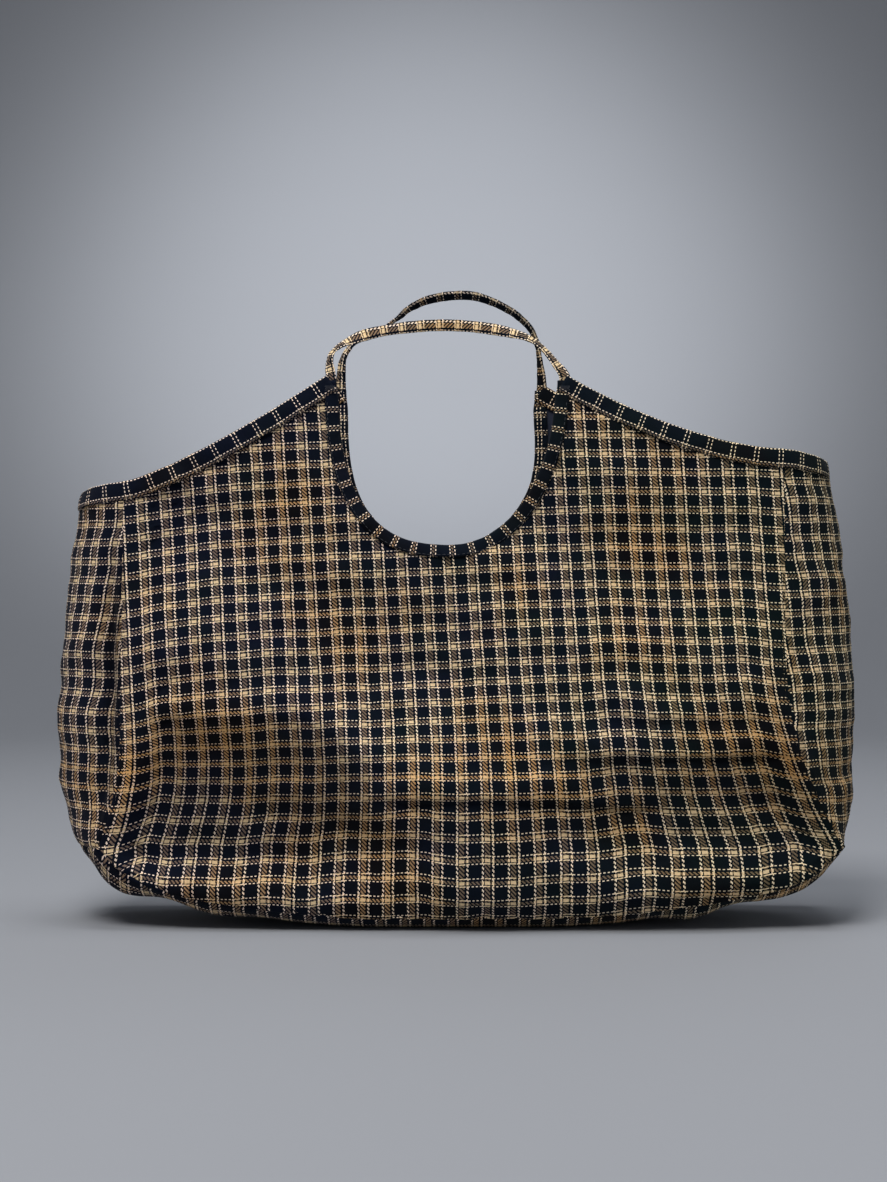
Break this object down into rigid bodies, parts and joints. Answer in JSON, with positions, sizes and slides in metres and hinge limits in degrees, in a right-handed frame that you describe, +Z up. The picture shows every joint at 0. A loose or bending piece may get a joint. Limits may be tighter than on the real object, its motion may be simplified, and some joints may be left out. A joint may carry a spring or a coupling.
{
  "type": "fabric tote bag",
  "caption": "Plaid cotton tote bag with a scooped neck, gusseted sides, a soft boxed base, bound edges and narrow strap handles, used as a reusable gift sack.",
  "frame": {"origin": "middle of the flat underside of the base, on the surface that the bag stands on", "axes": "+X to the right of the front face as seen from the front, +Y towards the back face, +Z up to the handles"},
  "size_m": [0.4925, 0.122, 0.3923],
  "materials": {
    "plaid_cotton": "matt woven check of near-black navy squares with cream, tan and dull pink yarn stripes",
    "lining_cotton": "matt plain-woven dark navy cotton",
    "binding_cotton": "matt folded tape of the same check, dark along the fold and cream along its inner edge",
    "strap_cotton": "matt folded and stitched strip of the same check, mostly its cream and tan stripes",
    "thread": "dark matt sewing thread"
  },
  "bodies": {
    "bag": {"front_panel": "plaid_cotton", "back_panel": "plaid_cotton", "left_gusset": "plaid_cotton", "right_gusset": "plaid_cotton", "base_panel": "plaid_cotton", "front_lining": "lining_cotton", "back_lining": "lining_cotton", "left_gusset_lining": "lining_cotton", "right_gusset_lining": "lining_cotton", "base_lining": "lining_cotton", "front_neck_binding": "binding_cotton", "back_neck_binding": "binding_cotton", "left_edge_binding": "binding_cotton", "right_edge_binding": "binding_cotton", "front_left_bar_tack": "thread", "front_right_bar_tack": "thread", "back_left_bar_tack": "thread", "back_right_bar_tack": "thread"},
    "front_handle": {"front_handle": "strap_cotton"},
    "back_handle": {"back_handle": "strap_cotton"}
  },
  "joints": [
    {"name": "front_handle_swing", "type": "hinge", "parent": "bag", "child": "front_handle", "pos_m": [0, -0.02869, 0.3321], "axis": [1, 0, 0], "range_deg": [-20, 100]},
    {"name": "back_handle_swing", "type": "hinge", "parent": "bag", "child": "back_handle", "pos_m": [0, 0.02869, 0.3321], "axis": [-1, 0, 0], "range_deg": [-20, 100]}
  ]
}
